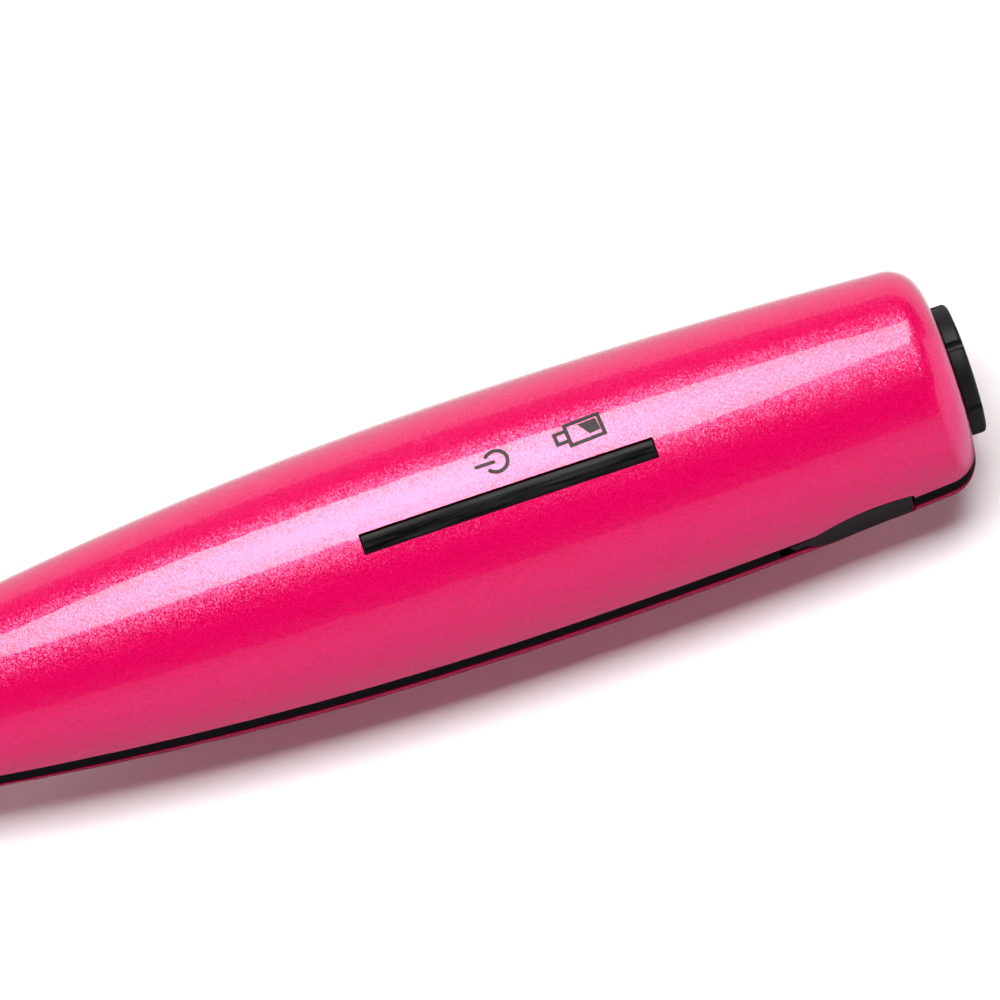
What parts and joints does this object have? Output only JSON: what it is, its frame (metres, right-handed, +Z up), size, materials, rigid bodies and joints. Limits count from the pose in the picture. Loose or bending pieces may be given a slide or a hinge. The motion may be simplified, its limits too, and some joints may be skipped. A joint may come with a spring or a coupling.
{
  "type": "three d pen",
  "caption": "Cordless drawing pen that feeds and melts plastic filament: half shells on a black frame, feed drive, hot end, buttons, rear dial and charging port.",
  "frame": {"origin": "centre of the nozzle's outlet, on the pen's axis", "axes": "+X along the pen's axis from the tip to the rear, +Z up through the window when the pen lies on its flat"},
  "size_m": [0.1617, 0.0298, 0.0296],
  "materials": {
    "pink_pearl": "pearl lacquer with fine flake, glossy clear coat",
    "black_satin": "satin moulded plastic",
    "window_lens": "dark smoked gloss",
    "clear_guide": "clear moulded acrylic",
    "led_white": "white lamp package",
    "board_green": "solder mask",
    "chip_black": "moulded epoxy",
    "screw_steel": "plain steel",
    "ribbon_amber": "amber polyimide film",
    "plunger_white": "white acetal",
    "button_black": "soft-touch black",
    "battery_wrap": "foil pouch",
    "foam_grey": "closed-cell foam",
    "nickel": "nickel plate",
    "cover_rubber": "satin dark grey elastomer",
    "dial_black": "fine-grained black",
    "bush_natural": "natural engineering plastic",
    "brass": "turned brass",
    "bearing_bronze": "sintered bronze",
    "brass_steel": "turned steel",
    "motor_can": "drawn steel can",
    "tube_white": "white low-friction tube",
    "heater_ceramic": "fired ceramic",
    "sensor_glass": "glass bead",
    "cone_black": "heat-resistant moulding"
  },
  "bodies": {
    "housing": {"battery_cell": "battery_wrap", "battery_pads": "foam_grey", "battery_tabs": "nickel", "button_board": "board_green", "charge_board": "board_green", "collar_bush": "bush_natural", "dial_sensor": "chip_black", "feed_motor": "motor_can", "feed_switch": "chip_black", "feed_tube": "tube_white", "front_bearing": "bearing_bronze", "gearhead": "brass_steel", "heat_sensor": "sensor_glass", "heat_wrap": "ribbon_amber", "heater_sleeve": "heater_ceramic", "inlet_tube": "tube_white", "light_guide": "clear_guide", "light_window": "window_lens", "lower_shell": "pink_pearl", "main_pcb": "board_green", "melt_tube": "screw_steel", "mid_frame": "black_satin", "motor_screws": "screw_steel", "motor_terminals": "nickel", "nose_cone": "cone_black", "nozzle": "brass", "pcb_chips": "chip_black", "pcb_screws": "screw_steel", "port_cover_pin": "screw_steel", "rear_bearing": "bearing_bronze", "rear_bush": "bush_natural", "reverse_switch": "chip_black", "ribbon_cable": "ribbon_amber", "shell_screws": "screw_steel", "status_leds": "led_white", "tube_coupler": "brass", "upper_shell": "pink_pearl", "usb_socket": "nickel", "usb_tongue": "black_satin"},
    "feed_button": {"feed_button": "button_black", "feed_plunger": "plunger_white"},
    "reverse_button": {"reverse_button": "button_black", "reverse_plunger": "plunger_white"},
    "port_cover": {"port_cover": "cover_rubber"},
    "rear_dial": {"rear_dial": "dial_black", "dial_clip": "screw_steel"},
    "drive_sleeve": {"drive_sleeve": "brass"},
    "motor_pinion": {"motor_pinion": "brass", "motor_shaft": "screw_steel"}
  },
  "joints": [
    {"name": "feed_button_press", "type": "slide", "parent": "housing", "child": "feed_button", "axis": [0, 0, -1], "range_m": [0, 0.0005], "stiffness_N_per_m": 800, "springref_m": -0.0008},
    {"name": "reverse_button_press", "type": "slide", "parent": "housing", "child": "reverse_button", "axis": [0, 0, -1], "range_m": [0, 0.0005], "stiffness_N_per_m": 800, "springref_m": -0.0008},
    {"name": "port_cover_swing", "type": "hinge", "parent": "housing", "child": "port_cover", "pos_m": [0.1369, -0.01331, 0], "axis": [0, 0, -1], "range_deg": [0, 100]},
    {"name": "rear_dial_turn", "type": "hinge", "parent": "housing", "child": "rear_dial", "pos_m": [0.155, 0, 0], "axis": [1, 0, 0], "range_deg": [-135, 135]},
    {"name": "drive_sleeve_spin", "type": "hinge", "parent": "housing", "child": "drive_sleeve", "pos_m": [0.0707, 0, 0], "axis": [1, 0, 0], "continuous": true},
    {"name": "motor_pinion_spin", "type": "hinge", "parent": "housing", "child": "motor_pinion", "pos_m": [0.0707, 0, -0.007], "axis": [1, 0, 0], "continuous": true}
  ],
  "couplings": [
    {"joint": "motor_pinion_spin", "follows": "drive_sleeve_spin", "ratio": -1.8}
  ]
}
